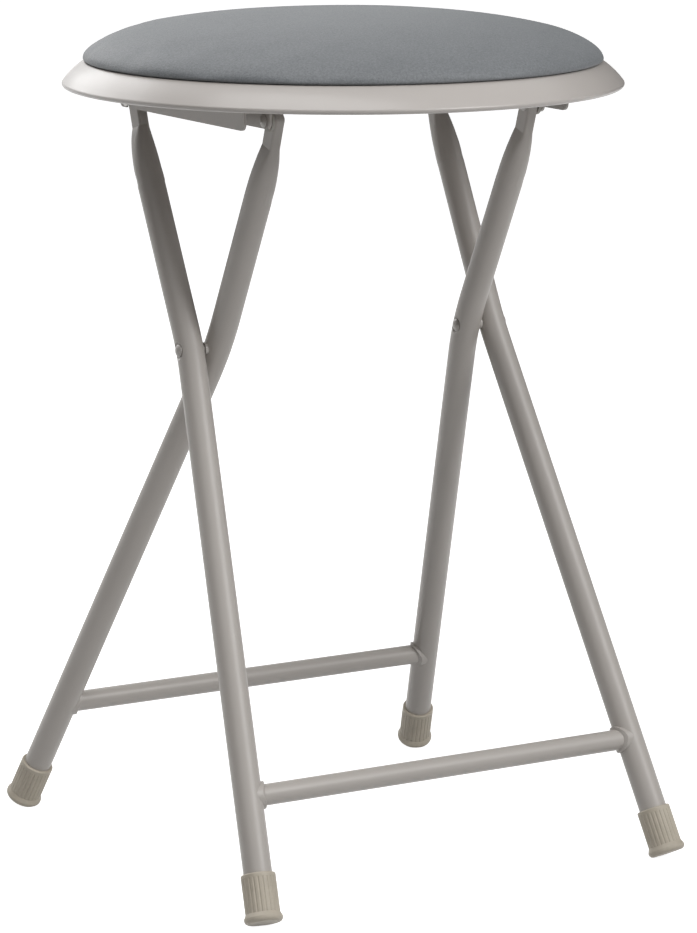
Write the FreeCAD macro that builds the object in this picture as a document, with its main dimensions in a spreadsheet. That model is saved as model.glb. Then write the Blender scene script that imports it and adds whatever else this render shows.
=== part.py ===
# Folding bar stool: a padded round seat in a painted steel pan, on two scissor frames of bent tube.
# Frame: X runs from left to right along the hinge axes, +Y is the rear, Z is up, millimetres.
# The origin lies on the floor under the middle of the seat.

import FreeCAD, Part
import math
import os
import Sketcher
from FreeCAD import Placement, Rotation, Vector

# Driving sizes, in millimetres, counts and degrees.
sizes = {
    # Whole stool
    "stool_height": 605.4,
    "scissor_height": 371.9,
    "scissor_setback": -1.5,
    "pivot_half_span": 83.7,
    # Leg tube
    "tube_diameter": 20.0,
    "tube_wall": 1.2,
    "bend_radius": 300.0,
    "inner_leg_offset": 103.2,
    "scissor_gap": 2.6,
    # Where the centre lines of the legs pass, at the height of the foot mark
    "foot_mark_height": 15.0,
    "inner_foot_offset": 171.4,
    "inner_foot_setback": 179.2,
    "outer_foot_offset": 165.8,
    "outer_foot_setback": -175.8,
    # Pressed tongue on the top of each leg, and the knee where it leans less than the tube
    "tongue_width": 13.8,
    "tongue_thickness": 8.0,
    "tongue_corner": 1.8,
    "tongue_length": 20.0,
    "knee_half_span": 75.4,
    "knee_drop": 24.7,
    "press_length": 38.0,
    "outer_tongue_shift": 1.8,
    # Dimple pressed into the tube under each head of a scissor rivet
    "dimple_depth": 1.5,
    "dimple_floor_radius": 5.2,
    "dimple_slope": 2.0,
    # Crossbars and their welds
    "bar_diameter": 15.0,
    "bar_wall": 1.2,
    "rear_bar_height": 85.6,
    "front_bar_height": 82.8,
    "weld_width": 2.2,
    # Foot caps
    "cap_diameter": 24.2,
    "cap_lip_diameter": 27.0,
    "cap_length": 34.0,
    "cap_lip_height": 3.8,
    "cap_lip_taper": 3.0,
    "cap_floor": 4.0,
    "cap_mouth_round": 1.0,
    "cap_edge_round": 3.0,
    "cap_contact_depth": 0.6,
    "cap_clearance": 0.05,
    "flute_count": 24,
    "flute_diameter": 2.0,
    "flute_depth": 0.4,
    "flute_top_margin": 3.0,
    # Pivots
    "rivet_diameter": 6.0,
    "rivet_head_diameter": 9.0,
    "rivet_head_height": 2.4,
    "rivet_head_edge": 0.7,
    "pivot_clearance": 0.08,
    "side_clearance": 0.2,
    "washer_diameter": 15.0,
    "washer_thickness": 2.4,
    "spacer_diameter": 9.0,
    # Seat channels
    "channel_width": 22.0,
    "channel_margin": 7.5,
    "channel_sheet": 2.0,
    "channel_bend": 3.0,
    "channel_corner": 5.0,
    "flange_below_pivot": 5.4,
    "tongue_clearance": 6.6,
    "notch_clearance": 0.3,
    "notch_angle": 61.3,
    # Channel screws
    "screw_diameter": 4.0,
    "screw_head_diameter": 8.0,
    "screw_head_height": 2.4,
    "screw_head_edge": 0.6,
    "screw_pitch": 45.0,
    "screw_count": 3,
    "screw_bite": 7.0,
    "screw_tip": 3.0,
    "screw_clearance": 0.2,
    "screw_bite_clearance": 0.05,
    # Seat pan
    "rim_radius": 201.0,
    "rim_drop": 18.5,
    "rim_face_radius": 57.0,
    "roll_radius": 2.3,
    "roll_turn": 230.0,
    "recess_radius": 180.5,
    "recess_bend": 2.5,
    "crest_radius": 3.2,
    "pan_sheet": 1.2,
    # Seat pad
    "pad_radius": 186.0,
    "pad_rise": 33.2,
    "pad_hem": 1.6,
    "pad_gap": 0.4,
    "board_thickness": 9.0,
    "board_chamfer": 1.0,
    "cover_sheet": 1.0,
    "cover_tuck": 30.0,
    "cover_corner": 2.0,
    "foam_clearance": 0.3,
    # One overrun for every cut that has to pass right through
    "overrun": 5.0,
}

# Share of a leg's round section that its flat sides grow from
round_side_share = 0.25

# Pressed run between the tongue and the round tube: its sections, the share of them before its bore
# starts, and the power by which it widens, fast at the knee and then slowly
press_steps = 7
press_solid_share = 0.28
press_power = 2.4

# Shape of the crown: powers of its rounding across the pad and upwards, and the points that it passes
crown_across_power = 3.06
crown_up_power = 1.70
crown_points = 12

doc = FreeCAD.newDocument("folding_bar_stool")
sheet = doc.addObject("Spreadsheet::Sheet", "Sizes")
row_count = 0


def put(name, value):
    """Writes a size into the sheet, where features read it by its name."""
    global row_count
    row_count += 1
    sizes[name] = value
    sheet.set("A%d" % row_count, name)
    sheet.set("B%d" % row_count, str(value))
    sheet.setAlias("B%d" % row_count, name)
    sheet.recompute()


for size_name, size_value in list(sizes.items()):
    put(size_name, size_value)


def get(name):
    """Reads a size back from the sheet."""
    return float(sheet.get(name))


def dome_radius(half_chord, rise):
    """Radius of the arc over a chord."""
    return (half_chord ** 2 + rise ** 2) / (2 * rise)


# Sizes that follow from the driving ones: the seat, from its top down.
put("ledge_height", get("stool_height") - get("pad_rise"))
put("crest_height", get("ledge_height") - get("pad_gap"))
put("crest_centre_height", get("crest_height") - get("crest_radius"))
put("pan_floor_height", get("crest_centre_height") - get("board_thickness") - get("cover_sheet"))
put("pan_underside", get("pan_floor_height") - get("pan_sheet"))
put("pad_body_radius", get("recess_radius") - get("pad_gap"))
put("board_radius", get("pad_body_radius") - get("cover_sheet") - get("foam_clearance"))
put("board_underside", get("pan_floor_height") + get("cover_sheet"))

# The channels and the pivots in them.
put("tube_radius", get("tube_diameter") / 2)
put("tube_bore_radius", get("tube_radius") - get("tube_wall"))
put("tongue_radius", get("tongue_width") / 2)
put("tongue_half_thickness", get("tongue_thickness") / 2)
put("channel_length", 2 * (get("pivot_half_span") - get("scissor_setback") + get("channel_margin")))
put("channel_height", get("tongue_radius") + get("tongue_clearance") + get("channel_sheet")
    + get("flange_below_pivot"))
put("pivot_height", get("pan_underside") - get("channel_height") + get("flange_below_pivot"))
put("outer_leg_offset", get("inner_leg_offset") + get("tube_diameter") + get("scissor_gap"))
put("outer_tongue_offset", get("outer_leg_offset") - get("outer_tongue_shift"))
put("inner_tongue_face", get("inner_leg_offset") + get("tongue_half_thickness"))
put("channel_inner_face", get("inner_tongue_face") + get("washer_thickness") + 2 * get("side_clearance"))
put("channel_middle", get("channel_inner_face") + get("channel_width") / 2)
put("channel_outer_face", get("channel_inner_face") + get("channel_width"))
put("rivet_radius", get("rivet_diameter") / 2)
put("rivet_head_radius", get("rivet_head_diameter") / 2)
put("pivot_hole_radius", get("rivet_radius") + get("pivot_clearance"))
put("notch_half_width", get("rivet_radius") + get("notch_clearance"))
put("inner_tongue_offset", get("inner_leg_offset"))
put("seat_pivot_grip", get("tongue_thickness") + get("washer_thickness") + 2 * get("side_clearance")
    + get("channel_sheet") + get("side_clearance"))
put("rest_pin_grip", get("channel_width") + 2 * get("side_clearance"))
put("rivet_dome_height", get("rivet_head_height") - get("rivet_head_edge"))
put("rivet_dome_radius", dome_radius(get("rivet_head_radius"), get("rivet_dome_height")))

# The channels' section and the cuts through it.
put("channel_bend_inside", get("channel_bend") - get("channel_sheet"))
put("channel_bend_height", get("channel_height") - get("channel_bend"))
put("channel_web_underside", get("channel_height") - get("channel_sheet"))
put("channel_bend_far", get("channel_width") - get("channel_bend"))
put("channel_wall_far", get("channel_width") - get("channel_sheet"))
put("notch_through", get("channel_width") + 2 * get("overrun"))
put("notch_width", 2 * get("notch_half_width"))
put("notch_run", 2 * get("flange_below_pivot") + get("overrun"))
put("pivot_hole_run", 2 * get("channel_sheet"))

# Screws and their holes.
put("screw_radius", get("screw_diameter") / 2)
put("screw_head_radius", get("screw_head_diameter") / 2)
put("screw_dome_height", get("screw_head_height") - get("screw_head_edge"))
put("screw_dome_radius", dome_radius(get("screw_head_radius"), get("screw_dome_height")))
put("screw_end", get("screw_head_height") + get("channel_sheet") + get("pan_sheet")
    + get("cover_sheet") + get("screw_bite"))
put("screw_tip_start", get("screw_end") - get("screw_tip"))
put("screw_hole_radius", get("screw_radius") + get("screw_clearance"))
put("screw_hole_run", get("overrun") * 2)
put("pan_hole_run", get("overrun") * 2 + get("pan_sheet"))
put("screw_bore_radius", get("screw_radius") + get("screw_bite_clearance"))
put("screw_bore_run", get("overrun") + get("screw_bite") + get("screw_clearance"))

# Crossbars and foot caps.
put("bar_radius", get("bar_diameter") / 2)
put("bar_bore_radius", get("bar_radius") - get("bar_wall"))
put("stub_length", 2 * get("tube_diameter"))
put("cap_radius", get("cap_diameter") / 2)
put("cap_lip_radius", get("cap_lip_diameter") / 2)
put("cap_edge_reach", get("cap_lip_radius") - get("cap_edge_round"))
put("cap_wall_start", get("cap_lip_height") + get("cap_lip_taper"))
put("cap_mouth_start", get("cap_length") - get("cap_mouth_round"))
put("cap_mouth_radius", get("cap_radius") - get("cap_mouth_round"))
put("cap_bore_radius", get("tube_radius") + get("cap_clearance"))
put("flute_radius", get("flute_diameter") / 2)
put("flute_offset", get("cap_radius") + get("flute_radius") - get("flute_depth"))
put("flute_length", get("cap_length") - get("cap_wall_start") - get("flute_top_margin"))
put("floor_block", 2 * get("cap_lip_diameter"))
put("rim_bottom", get("ledge_height") - get("rim_drop"))
doc.recompute()

sides = {"left": -1, "right": 1}


def new(kind, name):
    """Adds an object of the document under its own name."""
    made = doc.addObject(kind, name)
    made.Label = name
    return made


def bind(target, **cells):
    """Ties properties of an object to cells of the sheet."""
    for key, cell in cells.items():
        target.setExpression(key, "Sizes." + cell)


def turned(axis, base):
    """Placement that turns local Z to the given axis and moves the origin to base."""
    return Placement(base, Rotation(Vector(0, 0, 1), axis))


def rod(name, radius_cell, length_cell, axis, base):
    """Plain cylinder whose radius and length are tied to cells, standing on base along axis."""
    made = new("Part::Cylinder", name)
    bind(made, Radius=radius_cell, Height=length_cell)
    made.Placement = turned(axis, base)
    return made


def cut(name, base, tools):
    """Base with every tool cut away."""
    doc.recompute()
    if len(tools) > 1:
        joined = new("Part::MultiFuse", name + "_tools")
        joined.Shapes = tools
    else:
        joined = tools[0]
    made = new("Part::Cut", name)
    made.Base = base
    made.Tool = joined
    return made


def shaped(name, shape):
    """Object whose shape is worked out here from the sheet's sizes."""
    made = new("Part::Feature", name)
    made.Shape = shape
    return made


def group(name, shapes):
    """One node that holds several separate solids of a kind."""
    return shaped(name, Part.makeCompound(shapes))


def mirrored(shape):
    """The same shape on the other side of the stool."""
    return shape.mirror(Vector(0, 0, 0), Vector(1, 0, 0))


# Sketch outlines. A corner is a pair of cell names, or 0 on an axis.

def cell_value(cell):
    return sizes[cell] if cell else 0.0


def arc_centre(first, last, radius, way):
    """Centre of the arc under half a turn from first to last; way 1 is counterclockwise."""
    chord = last - first
    half = chord.Length / 2
    normal = Vector(-chord.y, chord.x, 0).normalize() * way
    return first + chord / 2 + normal * math.sqrt(max(radius ** 2 - half ** 2, 0))


def outline(sketch, corners, arcs=None):
    """Draws a closed outline through the corners and ties every corner and arc to its cells."""
    arcs = arcs or {}
    places = [Vector(cell_value(x), cell_value(y), 0) for x, y in corners]
    starts = []
    ends = []
    for index, place in enumerate(places):
        following = places[(index + 1) % len(places)]
        if index in arcs:
            cell, way = arcs[index]
            centre = arc_centre(place, following, sizes[cell], way)
            low, high = (place, following) if way > 0 else (following, place)
            low_angle = math.atan2(low.y - centre.y, low.x - centre.x)
            high_angle = math.atan2(high.y - centre.y, high.x - centre.x)
            circle = Part.Circle(centre, Vector(0, 0, 1), sizes[cell])
            sketch.addGeometry(Part.ArcOfCircle(circle, low_angle, high_angle), False)
            starts.append(1 if way > 0 else 2)
            ends.append(2 if way > 0 else 1)
        else:
            sketch.addGeometry(Part.LineSegment(place, following), False)
            starts.append(1)
            ends.append(2)
    for index in range(len(corners)):
        following = (index + 1) % len(corners)
        sketch.addConstraint(
            Sketcher.Constraint("Coincident", index, ends[index], following, starts[following]))
    for index, (x_cell, y_cell) in enumerate(corners):
        for kind, cell, axis in (("DistanceX", x_cell, -2), ("DistanceY", y_cell, -1)):
            if cell:
                made = sketch.addConstraint(
                    Sketcher.Constraint(kind, -1, 1, index, starts[index], sizes[cell]))
                sketch.setExpression("Constraints[%d]" % made, "Sizes." + cell)
            else:
                sketch.addConstraint(Sketcher.Constraint("PointOnObject", index, starts[index], axis))
    for index, (cell, way) in arcs.items():
        made = sketch.addConstraint(Sketcher.Constraint("Radius", index, sizes[cell]))
        sketch.setExpression("Constraints[%d]" % made, "Sizes." + cell)


def body_sketch(name, plane_role):
    """A body with one sketch on its own origin plane."""
    body = new("PartDesign::Body", name)
    sketch = body.newObject("Sketcher::SketchObject", name + "_sketch")
    plane = [item for item in body.Origin.OriginFeatures if item.Role == plane_role][0]
    sketch.AttachmentSupport = (plane, [""])
    sketch.MapMode = "FlatFace"
    return body, sketch


def turned_body(name, corners, arcs=None):
    """Body of revolution about local Z, with corners given as radius and height."""
    body, sketch = body_sketch(name, "XZ_Plane")
    outline(sketch, corners, arcs)
    turn = body.newObject("PartDesign::Revolution", name + "_turn")
    turn.Profile = sketch
    turn.ReferenceAxis = (sketch, ["V_Axis"])
    turn.Angle = 360
    sketch.Visibility = False
    doc.recompute()
    return body


# Leg centre lines, on the right side of the stool.

def leg_line(frame):
    """Pivot, knee, bend and foot points of a right-hand leg, its two directions and its bend."""
    rearward = 1 if frame == "outer" else -1
    offset = get(frame + "_leg_offset")
    pivot = Vector(offset, get("scissor_setback") + rearward * get("pivot_half_span"), get("pivot_height"))
    knee = Vector(offset, get("scissor_setback") + rearward * get("knee_half_span"),
                  get("pivot_height") - get("knee_drop"))
    bend = Vector(offset, get("scissor_setback"), get("scissor_height"))
    mark = Vector(get(frame + "_foot_offset"), get(frame + "_foot_setback"), get("foot_mark_height"))
    upper = (bend - knee).normalize()
    lower = (mark - bend).normalize()
    turn = upper.getAngle(lower)
    tangent = get("bend_radius") * math.tan(turn / 2)
    sag = get("bend_radius") * (1 / math.cos(turn / 2) - 1)
    return {
        "pivot": pivot,
        "knee": knee,
        "bend": bend,
        "mark": mark,
        "upper": upper,
        "lower": lower,
        "bend_start": bend - upper * tangent,
        "bend_middle": bend + (lower - upper).normalize() * sag,
        "bend_end": bend + lower * tangent,
    }


lines = {frame: leg_line(frame) for frame in ("inner", "outer")}

# The heads of the scissor rivets sit on the floors of the dimples.
put("dimple_inset", get("tube_radius") - get("dimple_depth"))
put("scissor_inboard", lines["inner"]["bend_middle"].x - get("dimple_inset"))
put("scissor_outboard", lines["outer"]["bend_middle"].x + get("dimple_inset"))
put("scissor_grip", get("scissor_outboard") + get("side_clearance") - get("scissor_inboard"))


def cap_bottom(line):
    """Middle of the foot cap's end, set so low that the cap's edge reaches just under the floor."""
    lean = line["lower"].getAngle(Vector(0, 0, -1))
    edge_round = get("cap_edge_round")
    edge_reach = get("cap_lip_radius") - edge_round
    lowest = edge_round * math.cos(lean) - edge_reach * math.sin(lean) - edge_round
    height = -get("cap_contact_depth") - lowest
    return line["mark"] + line["lower"] * ((line["mark"].z - height) / -line["lower"].z)


# Legs.

def leg_section(centre, axis, half_wide, half_thick, corner):
    """Outline across a leg in eight edges, four sides and four corners, round if all corner."""
    is_round = math.isclose(half_wide, corner)
    thick_way = Vector(1, 0, 0)
    wide_way = axis.cross(thick_way).normalize()
    quarter_turn = math.pi / 2
    lean = quarter_turn * round_side_share / 2 if is_round else 0
    corners = []
    for quarter, (wide_sign, thick_sign) in enumerate(((1, 1), (-1, 1), (-1, -1), (1, -1))):
        hub = centre + wide_way * (wide_sign * (half_wide - corner))
        hub += thick_way * (thick_sign * (half_thick - corner))
        start = quarter * quarter_turn
        angles = (start + lean, start + quarter_turn / 2, start + quarter_turn - lean)
        corners.append([hub + (wide_way * math.cos(a) + thick_way * math.sin(a)) * corner for a in angles])
    edges = []
    for quarter, (first, middle, last) in enumerate(corners):
        following = corners[(quarter + 1) % 4][0]
        edges.append(Part.Arc(first, middle, last).toShape())
        if is_round:
            side = ((last - centre) + (following - centre)).normalize()
            edges.append(Part.Arc(last, centre + side * corner, following).toShape())
        else:
            edges.append(Part.makeLine(last, following))
    return Part.Wire(edges)


def leg_bar(line, start, end, radius):
    """Solid round bar along the leg's centre line, from start on the upper run to end on the lower."""
    spine = Part.Wire([
        Part.makeLine(start, line["bend_start"]),
        Part.Arc(line["bend_start"], line["bend_middle"], line["bend_end"]).toShape(),
        Part.makeLine(line["bend_end"], end),
    ])
    ring = Part.Wire([Part.makeCircle(radius, start, line["upper"])])
    return spine.makePipeShell([ring], True, False)


def tongue_nose(eye, wide_way):
    """Rounded end of the tongue: half of its section turned about the pivot."""
    half_wide = get("tongue_radius")
    half_thick = get("tongue_half_thickness")
    corner = get("tongue_corner")
    thick_way = Vector(1, 0, 0)
    slant = corner * math.sin(math.pi / 4)
    points = []
    for wide, thick in ((0, half_thick), (half_wide - corner, half_thick),
                        (half_wide - corner + slant, half_thick - corner + slant),
                        (half_wide, half_thick - corner)):
        points.append(eye + wide_way * wide + thick_way * thick)
    opposite = [Vector(2 * eye.x - point.x, point.y, point.z) for point in points]
    outline_wire = Part.Wire([
        Part.makeLine(points[0], points[1]),
        Part.Arc(points[1], points[2], points[3]).toShape(),
        Part.makeLine(points[3], opposite[3]),
        Part.Arc(opposite[3], opposite[2], opposite[1]).toShape(),
        Part.makeLine(opposite[1], opposite[0]),
        Part.makeLine(opposite[0], points[0]),
    ])
    return Part.Face(outline_wire).revolve(eye, thick_way, 360)


def press_loft(start, knee, end, first_step, inset):
    """Run from the tongue's end round the knee to the round tube, inset from its outside."""
    near = (knee - start).Length
    far = (end - knee).Length
    sections = []
    for step in range(first_step, press_steps + 1):
        along = step / press_steps
        centre = start * (1 - along) ** 2 + knee * (2 * along * (1 - along)) + end * along ** 2
        way = (knee - start) * (1 - along) + (end - knee) * along
        way.x = 0
        travelled = along ** 2 + 2 * along * (1 - along) * near / (near + far)
        share = 1 - (1 - travelled) ** press_power
        sections.append(leg_section(
            centre, way.normalize(),
            *(get(small) + (get("tube_radius") - get(small)) * share - inset
              for small in ("tongue_radius", "tongue_half_thickness", "tongue_corner"))))
    return Part.makeLoft(sections, True, False)


def dimpled(leg, frame):
    """Leg with the dimple for a head of the scissor rivet: a hollow, and the wall pushed in round it."""
    line = lines[frame]
    outward = Vector(1, 0, 0) if frame == "outer" else Vector(-1, 0, 0)
    floor_x = get("scissor_outboard" if frame == "outer" else "scissor_inboard")
    floor = Vector(floor_x, line["bend"].y, line["bend"].z)
    small = get("dimple_floor_radius")
    slope = get("dimple_slope")
    wall = get("tube_wall")
    hollow = Part.makeCone(small, small + slope, slope, floor, outward)
    pushed = Part.makeCone(small, small + slope, slope, floor - outward * wall, outward)
    pushed = pushed.common(leg_bar(line, line["knee"], line["mark"], get("tube_radius")))
    return leg.fuse(pushed).cut(hollow)


def leg_shape(frame):
    """Right-hand leg: bent tube with its top pressed to a tongue with a rounded, drilled end."""
    line = lines[frame]
    knee = line["knee"]
    across = Vector(1, 0, 0)
    eye = Vector(get(frame + "_tongue_offset"), line["pivot"].y, line["pivot"].z)
    tongue_way = (knee - line["pivot"]).normalize()
    tongue_end = eye + tongue_way * get("tongue_length")
    tube_start = knee + line["upper"] * get("press_length")
    tube_end = cap_bottom(line) - line["lower"] * get("cap_floor")
    bore_end = tube_end + line["lower"] * get("overrun")
    end_section = leg_section(
        eye, tongue_way, get("tongue_radius"), get("tongue_half_thickness"), get("tongue_corner"))
    leg = leg_bar(line, tube_start, tube_end, get("tube_radius")).fuse([
        press_loft(tongue_end, knee, tube_start, 0, 0),
        Part.Face(end_section).extrude(tongue_end - eye),
        tongue_nose(eye, tongue_way.cross(across).normalize()),
    ])
    bore_step = round(press_steps * press_solid_share)
    leg = leg.cut(leg_bar(line, tube_start, bore_end, get("tube_bore_radius")).fuse(
        press_loft(tongue_end, knee, tube_start, bore_step, get("tube_wall"))))
    leg = dimpled(leg, frame)

    reach = get("tube_diameter") + get("overrun")
    holes = []
    for centre in (eye, line["bend"]):
        start = centre - across * (reach / 2)
        holes.append(Part.makeCylinder(get("pivot_hole_radius"), reach, start, across))
    return leg.cut(holes).removeSplitter()


def make_legs():
    for frame in ("inner", "outer"):
        right = leg_shape(frame)
        shaped("right_%s_leg" % frame, right)
        shaped("left_%s_leg" % frame, mirrored(right))


# Crossbars, welded between the legs of each frame.

def bar_point(frame):
    """Point of the right leg's centre line at the height of the crossbar."""
    line = lines[frame]
    height = get("rear_bar_height" if frame == "inner" else "front_bar_height")
    return line["bend"] + line["lower"] * ((line["bend"].z - height) / -line["lower"].z)


def leg_stub(frame, side, radius):
    """Round bar along a leg's lower run, either side of the crossbar."""
    point = bar_point(frame)
    axis = Vector(lines[frame]["lower"])
    point.x *= sides[side]
    axis.x *= sides[side]
    return Part.makeCylinder(radius, get("stub_length"), point - axis * (get("stub_length") / 2), axis)


def make_crossbar(name, frame):
    """Tube from leg to leg, with its ends shaped to sit on the round legs."""
    point = bar_point(frame)
    put(name + "_span", 2 * point.x)
    start = Vector(-point.x, point.y, point.z)
    across = Vector(1, 0, 0)
    outside = rod(name + "_outside", "bar_radius", name + "_span", across, start)
    tools = [rod(name + "_bore", "bar_bore_radius", name + "_span", across, start)]
    for side in sides:
        tools.append(shaped("%s_%s_saddle" % (name, side), leg_stub(frame, side, get("tube_radius"))))
    return cut(name, outside, tools)


def make_welds(name, frame):
    """Weld bead round each end of a crossbar."""
    point = bar_point(frame)
    bead_width = get("weld_width")
    beads = []
    for side, sign in sides.items():
        middle = Vector(sign * point.x, point.y, point.z)
        inward = Vector(-sign, 0, 0)
        bead = leg_stub(frame, side, get("tube_radius") + bead_width)
        collar = Part.makeCylinder(get("bar_radius") + bead_width, get("stub_length"), middle, inward)
        bar = Part.makeCylinder(get("bar_radius"), get("stub_length"), middle, inward)
        beads.append(bead.common(collar).cut([bar, leg_stub(frame, side, get("tube_radius"))]))
    return group(name, beads)


# Foot caps.

def cap_body():
    """Fluted cup with a flared, rounded lip, standing on its closed end."""
    body = turned_body(
        "foot_cap",
        [
            (0, 0),
            ("cap_edge_reach", 0),
            ("cap_lip_radius", "cap_edge_round"),
            ("cap_lip_radius", "cap_lip_height"),
            ("cap_radius", "cap_wall_start"),
            ("cap_radius", "cap_mouth_start"),
            ("cap_mouth_radius", "cap_length"),
            ("cap_bore_radius", "cap_length"),
            ("cap_bore_radius", "cap_floor"),
            (0, "cap_floor"),
        ],
        {1: ("cap_edge_round", 1), 5: ("cap_mouth_round", 1)})
    flute_sketch = body.newObject("Sketcher::SketchObject", "flute_sketch")
    plane = [item for item in body.Origin.OriginFeatures if item.Role == "XY_Plane"][0]
    flute_sketch.AttachmentSupport = (plane, [""])
    flute_sketch.MapMode = "FlatFace"
    flute_sketch.AttachmentOffset = Placement(Vector(0, 0, get("cap_wall_start")), Rotation())
    flute_sketch.setExpression("AttachmentOffset.Base.z", "Sizes.cap_wall_start")
    flute_sketch.addGeometry(
        Part.Circle(Vector(get("flute_offset"), 0, 0), Vector(0, 0, 1), get("flute_radius")), False)
    flute_sketch.addConstraint(Sketcher.Constraint("PointOnObject", 0, 3, -1))
    offset = flute_sketch.addConstraint(
        Sketcher.Constraint("DistanceX", -1, 1, 0, 3, get("flute_offset")))
    flute_sketch.setExpression("Constraints[%d]" % offset, "Sizes.flute_offset")
    width = flute_sketch.addConstraint(Sketcher.Constraint("Radius", 0, get("flute_radius")))
    flute_sketch.setExpression("Constraints[%d]" % width, "Sizes.flute_radius")
    before = body.Shape.Volume
    flute = body.newObject("PartDesign::Pocket", "flute")
    flute.Profile = flute_sketch
    flute.setExpression("Length", "Sizes.flute_length")
    flute.Reversed = True
    doc.recompute()
    ring = body.newObject("PartDesign::PolarPattern", "flute_ring")
    ring.Originals = [flute]
    ring.Axis = (flute_sketch, ["N_Axis"])
    ring.Angle = 360
    ring.Occurrences = int(get("flute_count"))
    body.Tip = ring
    doc.recompute()
    if not body.Shape.Volume < before:
        raise RuntimeError("the flutes cut nothing from the foot cap")
    return body


def make_foot_caps():
    """One cap on each leg, coaxial with it and worn flat where it stands on the floor."""
    cap = cap_body().Shape
    for frame, place in (("inner", "rear"), ("outer", "front")):
        line = lines[frame]
        bottom = cap_bottom(line)
        right = cap.copy()
        right.Placement = turned(line["lower"] * -1, bottom)
        for side, sign in sides.items():
            name = "%s_%s_foot_cap" % (side, place)
            whole = shaped(name + "_whole", right if sign > 0 else mirrored(right))
            floor = new("Part::Box", name + "_floor")
            bind(floor, Length="floor_block", Width="floor_block", Height="overrun")
            half_block = get("floor_block") / 2
            floor.Placement.Base = Vector(
                sign * bottom.x - half_block, bottom.y - half_block, -get("overrun"))
            cut(name, whole, [floor])


# Rivets, pins, washers and spacers.

def headed_pin(name, grip_cell):
    """Pin with a domed head at each end, standing along local Z with its grip above the first head."""
    put(name + "_grip_end", get("rivet_head_height") + get(grip_cell))
    put(name + "_far_edge", get(name + "_grip_end") + get("rivet_head_edge"))
    put(name + "_end", get(name + "_grip_end") + get("rivet_head_height"))
    return turned_body(
        name,
        [
            (0, 0),
            ("rivet_head_radius", "rivet_dome_height"),
            ("rivet_head_radius", "rivet_head_height"),
            ("rivet_radius", "rivet_head_height"),
            ("rivet_radius", name + "_grip_end"),
            ("rivet_head_radius", name + "_grip_end"),
            ("rivet_head_radius", name + "_far_edge"),
            (0, name + "_end"),
        ],
        {0: ("rivet_dome_radius", 1), 6: ("rivet_dome_radius", 1)}).Shape


def pair_across(name, shape, x, y, z):
    """The same piece on both sides, its local Z turned outward and its origin at x, y, z."""
    right = shape.copy()
    right.Placement = turned(Vector(1, 0, 0), Vector(x, y, z))
    return group(name, [right, mirrored(right)])


def ring_shape(radius, bore, length):
    return Part.makeCylinder(radius, length).cut(Part.makeCylinder(bore, length))


def make_pivots():
    """Rivets on which the seat tilts, with a washer between each leg and its channel."""
    pivot = lines["inner"]["pivot"]
    head = get("rivet_head_height")
    inboard_face = get("inner_tongue_offset") - get("tongue_half_thickness")
    pin = headed_pin("seat_pivot", "seat_pivot_grip")
    pair_across("seat_pivot_rivets", pin, inboard_face - head, pivot.y, pivot.z)
    washer = ring_shape(get("washer_diameter") / 2, get("pivot_hole_radius"), get("washer_thickness"))
    pair_across("seat_pivot_washers", washer, get("inner_tongue_face"), pivot.y, pivot.z)


def make_scissor():
    """Rivets through the crossing legs, with a saddle spacer between the two tubes."""
    inner = lines["inner"]
    bend = inner["bend"]
    head = get("rivet_head_height")
    pin = headed_pin("scissor_pin", "scissor_grip")
    pair_across("scissor_rivets", pin, get("scissor_inboard") - head, bend.y, bend.z)
    start = Vector(inner["bend_middle"].x, bend.y, bend.z)
    length = get("outer_leg_offset") - get("tube_radius") - get("side_clearance") - start.x
    across = Vector(1, 0, 0)
    spacer = Part.makeCylinder(get("spacer_diameter") / 2, length, start, across)
    spacer = spacer.cut([
        leg_bar(inner, inner["knee"], inner["mark"], get("tube_radius")),
        Part.makeCylinder(get("pivot_hole_radius"), length, start, across),
    ])
    group("scissor_spacers", [spacer, mirrored(spacer)])


def make_rest_pins():
    """Pins on the outer legs that the channels come down on, with sleeves either side of the tongue."""
    pivot = lines["outer"]["pivot"]
    head = get("rivet_head_height")
    side_gap = get("side_clearance")
    pin = headed_pin("rest_pin", "rest_pin_grip")
    pair_across("rest_pins", pin, get("channel_inner_face") - side_gap - head, pivot.y, pivot.z)
    tongue = get("outer_tongue_offset")
    half_tongue = get("tongue_half_thickness")
    inside = get("channel_inner_face") + get("channel_sheet") + side_gap
    outside = get("channel_outer_face") - get("channel_sheet") - side_gap
    sleeves = []
    for start, end in ((inside, tongue - half_tongue), (tongue + half_tongue, outside)):
        sleeve = ring_shape(get("spacer_diameter") / 2, get("pivot_hole_radius"), end - start)
        sleeve.Placement = turned(Vector(1, 0, 0), Vector(start, pivot.y, pivot.z))
        sleeves += [sleeve, mirrored(sleeve)]
    group("rest_pin_sleeves", sleeves)


# Seat channels and their screws.

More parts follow.
